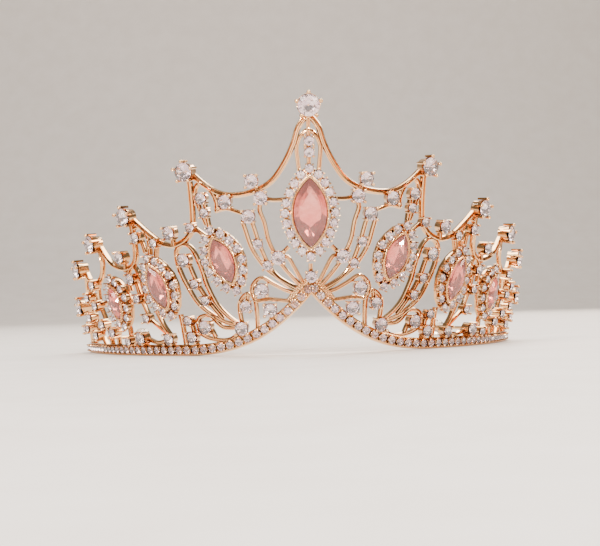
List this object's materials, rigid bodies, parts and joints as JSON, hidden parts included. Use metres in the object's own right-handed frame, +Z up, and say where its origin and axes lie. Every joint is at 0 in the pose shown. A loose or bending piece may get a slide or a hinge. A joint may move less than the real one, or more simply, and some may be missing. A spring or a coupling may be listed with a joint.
{
  "type": "tiara",
  "caption": "Openwork rose-gold tiara with pink marquise stones in halos, clear claw-set stones and two side wires ending in beads",
  "frame": {"origin": "middle of the bounding box, at the level of the band's lower face", "axes": "+Z up, -Y towards the front of the crown, X across the head"},
  "size_m": [0.1527, 0.1458, 0.0749],
  "materials": {
    "rose_gold": "polished rose-gold plating",
    "clear_glass": "cut and polished clear glass with a foil back",
    "pink_glass": "cut and polished salmon-pink glass with a foil back",
    "champagne_glass": "faceted champagne glass"
  },
  "bodies": {
    "root": {"crown_frame": "rose_gold", "top_stone": "clear_glass", "tip_stone_1_left": "clear_glass", "tip_stone_1_right": "clear_glass", "tip_stone_2_left": "clear_glass", "tip_stone_2_right": "clear_glass", "tip_stone_3_left": "clear_glass", "tip_stone_3_right": "clear_glass", "tip_stone_4_left": "clear_glass", "tip_stone_4_right": "clear_glass", "tip_stone_5_left": "clear_glass", "tip_stone_5_right": "clear_glass", "shoulder_top_stone_left": "clear_glass", "shoulder_top_stone_right": "clear_glass", "shoulder_stone_left": "clear_glass", "shoulder_stone_right": "clear_glass", "loop_stone_left": "clear_glass", "loop_stone_right": "clear_glass", "bridge_stone_left": "clear_glass", "bridge_stone_right": "clear_glass", "edge_top_stone_1_left": "clear_glass", "edge_top_stone_1_right": "clear_glass", "edge_top_stone_2_left": "clear_glass", "edge_top_stone_2_right": "clear_glass", "paisley_stone_left": "clear_glass", "paisley_stone_right": "clear_glass", "fan_stone_left": "clear_glass", "fan_stone_right": "clear_glass", "flower_stone_left": "clear_glass", "flower_stone_right": "clear_glass", "gate_stone_left": "clear_glass", "gate_stone_right": "clear_glass", "root_stone_left": "clear_glass", "root_stone_right": "clear_glass", "marquise_centre": "pink_glass", "marquise_left_1": "pink_glass", "marquise_right_1": "pink_glass", "marquise_left_2": "pink_glass", "marquise_right_2": "pink_glass", "marquise_left_3": "pink_glass", "marquise_right_3": "pink_glass", "halo_centre": "clear_glass", "halo_left_1": "clear_glass", "halo_right_1": "clear_glass", "halo_left_2": "clear_glass", "halo_right_2": "clear_glass", "halo_left_3": "clear_glass", "halo_right_3": "clear_glass", "end_bead_left": "champagne_glass", "end_bead_right": "champagne_glass"}
  },
  "joints": []
}
